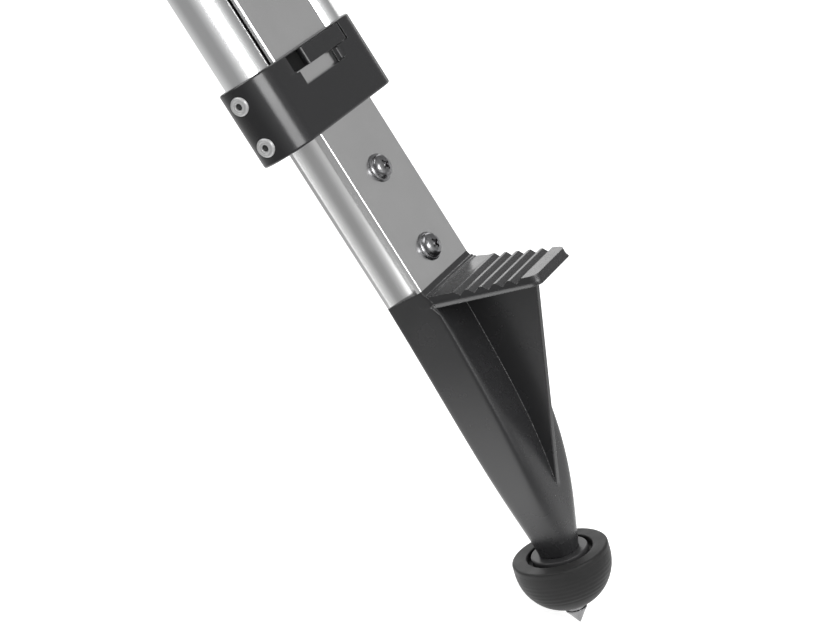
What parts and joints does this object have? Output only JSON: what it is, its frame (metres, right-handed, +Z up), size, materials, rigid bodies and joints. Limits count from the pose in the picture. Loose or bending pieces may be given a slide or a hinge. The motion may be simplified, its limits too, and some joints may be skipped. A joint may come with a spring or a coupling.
{
  "type": "laser level tripod",
  "caption": "Flat-head surveying tripod with telescoping double-rail legs, flush flip clamps, step-on shoes and rubber ball feet over steel spikes.",
  "frame": {"origin": "where the fixing screw's axis meets the head's flat top face", "axes": "+Z up the fixing screw, square to the head; leg A stands at -30 degrees about +Z from +X, and legs B and C at 90 and 210 degrees"},
  "size_m": [1.2136, 1.058, 0.9521],
  "materials": {
    "cast_head": "black powder-coated aluminium casting, satin",
    "plated_steel": "zinc-plated steel",
    "arm_plate": "zinc-plated steel plate",
    "brass": "turned brass",
    "black_plastic": "moulded black plastic, satin",
    "grey_plastic": "moulded dark plastic, matt",
    "bright_rail": "bright anodised round tube",
    "rivet": "bright aluminium blind rivet",
    "rubber_pad": "matt black rubber",
    "satin_tube": "satin anodised extrusion",
    "shoe_plastic": "moulded black plastic with a fine grain",
    "chrome_screw": "chromed, polished",
    "rubber": "black moulded rubber, matt",
    "bush_steel": "blackened steel"
  },
  "bodies": {
    "head": {"head_plate": "cast_head", "hinge_bolts": "plated_steel", "hinge_nuts": "plated_steel", "arm_bolt": "plated_steel"},
    "arm": {"swing_arm": "arm_plate"},
    "bush": {"slide_bush": "brass"},
    "screw": {"fixing_screw": "brass", "retaining_ring": "plated_steel", "screw_knob": "black_plastic"},
    "leg_a": {"leg_cap_a": "black_plastic", "left_rail_a": "bright_rail", "right_rail_a": "bright_rail", "clamp_housing_a": "black_plastic", "leg_rivets_a": "rivet", "lever_pin_a": "plated_steel"},
    "lever_a": {"clamp_lever_a": "black_plastic"},
    "pad_a": {"brake_pad_a": "rubber_pad"},
    "lower_a": {"inner_leg_a": "satin_tube", "leg_guide_a": "grey_plastic", "foot_shoe_a": "shoe_plastic", "foot_screws_a": "chrome_screw", "spike_a": "plated_steel"},
    "ball_a": {"ball_foot_a": "rubber", "ball_bush_a": "bush_steel"},
    "leg_b": {"leg_cap_b": "black_plastic", "left_rail_b": "bright_rail", "right_rail_b": "bright_rail", "clamp_housing_b": "black_plastic", "leg_rivets_b": "rivet", "lever_pin_b": "plated_steel"},
    "lever_b": {"clamp_lever_b": "black_plastic"},
    "pad_b": {"brake_pad_b": "rubber_pad"},
    "lower_b": {"inner_leg_b": "satin_tube", "leg_guide_b": "grey_plastic", "foot_shoe_b": "shoe_plastic", "foot_screws_b": "chrome_screw", "spike_b": "plated_steel"},
    "ball_b": {"ball_foot_b": "rubber", "ball_bush_b": "bush_steel"},
    "leg_c": {"leg_cap_c": "black_plastic", "left_rail_c": "bright_rail", "right_rail_c": "bright_rail", "clamp_housing_c": "black_plastic", "leg_rivets_c": "rivet", "lever_pin_c": "plated_steel"},
    "lever_c": {"clamp_lever_c": "black_plastic"},
    "pad_c": {"brake_pad_c": "rubber_pad"},
    "lower_c": {"inner_leg_c": "satin_tube", "leg_guide_c": "grey_plastic", "foot_shoe_c": "shoe_plastic", "foot_screws_c": "chrome_screw", "spike_c": "plated_steel"},
    "ball_c": {"ball_foot_c": "rubber", "ball_bush_c": "bush_steel"}
  },
  "joints": [
    {"name": "arm_swing", "type": "hinge", "parent": "head", "child": "arm", "pos_m": [-0.04503, 0.026, -0.0123], "axis": [0, 0, 1], "range_deg": [-14, 14]},
    {"name": "bush_slide", "type": "slide", "parent": "arm", "child": "bush", "axis": [0.866, -0.5, 0], "range_m": [-0.014, 0.014]},
    {"name": "screw_turn", "type": "hinge", "parent": "bush", "child": "screw", "pos_m": [0, 0, -0.02], "axis": [0, 0, 1], "continuous": true},
    {"name": "leg_hinge_a", "type": "hinge", "parent": "head", "child": "leg_a", "pos_m": [0.05369, -0.031, -0.024], "axis": [0.5, 0.866, 0], "range_deg": [-10, 36]},
    {"name": "leg_slide_a", "type": "slide", "parent": "leg_a", "child": "lower_a", "axis": [0.509, -0.2939, -0.809], "range_m": [-0.02, 0.645]},
    {"name": "lever_flip_a", "type": "hinge", "parent": "leg_a", "child": "lever_a", "pos_m": [0.47057, -0.23785, -0.63833], "axis": [-0.509, 0.2939, 0.809], "range_deg": [0, 90]},
    {"name": "pad_release_a", "type": "slide", "parent": "leg_a", "child": "pad_a", "axis": [0.7006, -0.4045, 0.5878], "range_m": [0, 0.0002]},
    {"name": "ball_screw_a", "type": "slide", "parent": "lower_a", "child": "ball_a", "axis": [0.2676, -0.1545, -0.9511], "range_m": [0, 0.012]},
    {"name": "leg_hinge_b", "type": "hinge", "parent": "head", "child": "leg_b", "pos_m": [0, 0.062, -0.024], "axis": [-1, 0, 0], "range_deg": [-10, 36]},
    {"name": "leg_slide_b", "type": "slide", "parent": "leg_b", "child": "lower_b", "axis": [0, 0.5878, -0.809], "range_m": [-0.02, 0.645]},
    {"name": "lever_flip_b", "type": "hinge", "parent": "leg_b", "child": "lever_b", "pos_m": [-0.0293, 0.52645, -0.63833], "axis": [0, -0.5878, 0.809], "range_deg": [0, 90]},
    {"name": "pad_release_b", "type": "slide", "parent": "leg_b", "child": "pad_b", "axis": [0, 0.809, 0.5878], "range_m": [0, 0.0002]},
    {"name": "ball_screw_b", "type": "slide", "parent": "lower_b", "child": "ball_b", "axis": [0, 0.309, -0.9511], "range_m": [0, 0.012]},
    {"name": "leg_hinge_c", "type": "hinge", "parent": "head", "child": "leg_c", "pos_m": [-0.05369, -0.031, -0.024], "axis": [0.5, -0.866, 0], "range_deg": [-10, 36]},
    {"name": "leg_slide_c", "type": "slide", "parent": "leg_c", "child": "lower_c", "axis": [-0.509, -0.2939, -0.809], "range_m": [-0.02, 0.645]},
    {"name": "lever_flip_c", "type": "hinge", "parent": "leg_c", "child": "lever_c", "pos_m": [-0.44127, -0.2886, -0.63833], "axis": [0.509, 0.2939, 0.809], "range_deg": [0, 90]},
    {"name": "pad_release_c", "type": "slide", "parent": "leg_c", "child": "pad_c", "axis": [-0.7006, -0.4045, 0.5878], "range_m": [0, 0.0002]},
    {"name": "ball_screw_c", "type": "slide", "parent": "lower_c", "child": "ball_c", "axis": [-0.2676, -0.1545, -0.9511], "range_m": [0, 0.012]}
  ],
  "couplings": [
    {"joint": "pad_release_a", "follows": "lever_flip_a", "m_per_rad": 0.000125},
    {"joint": "pad_release_b", "follows": "lever_flip_b", "m_per_rad": 0.000125},
    {"joint": "pad_release_c", "follows": "lever_flip_c", "m_per_rad": 0.000125}
  ]
}
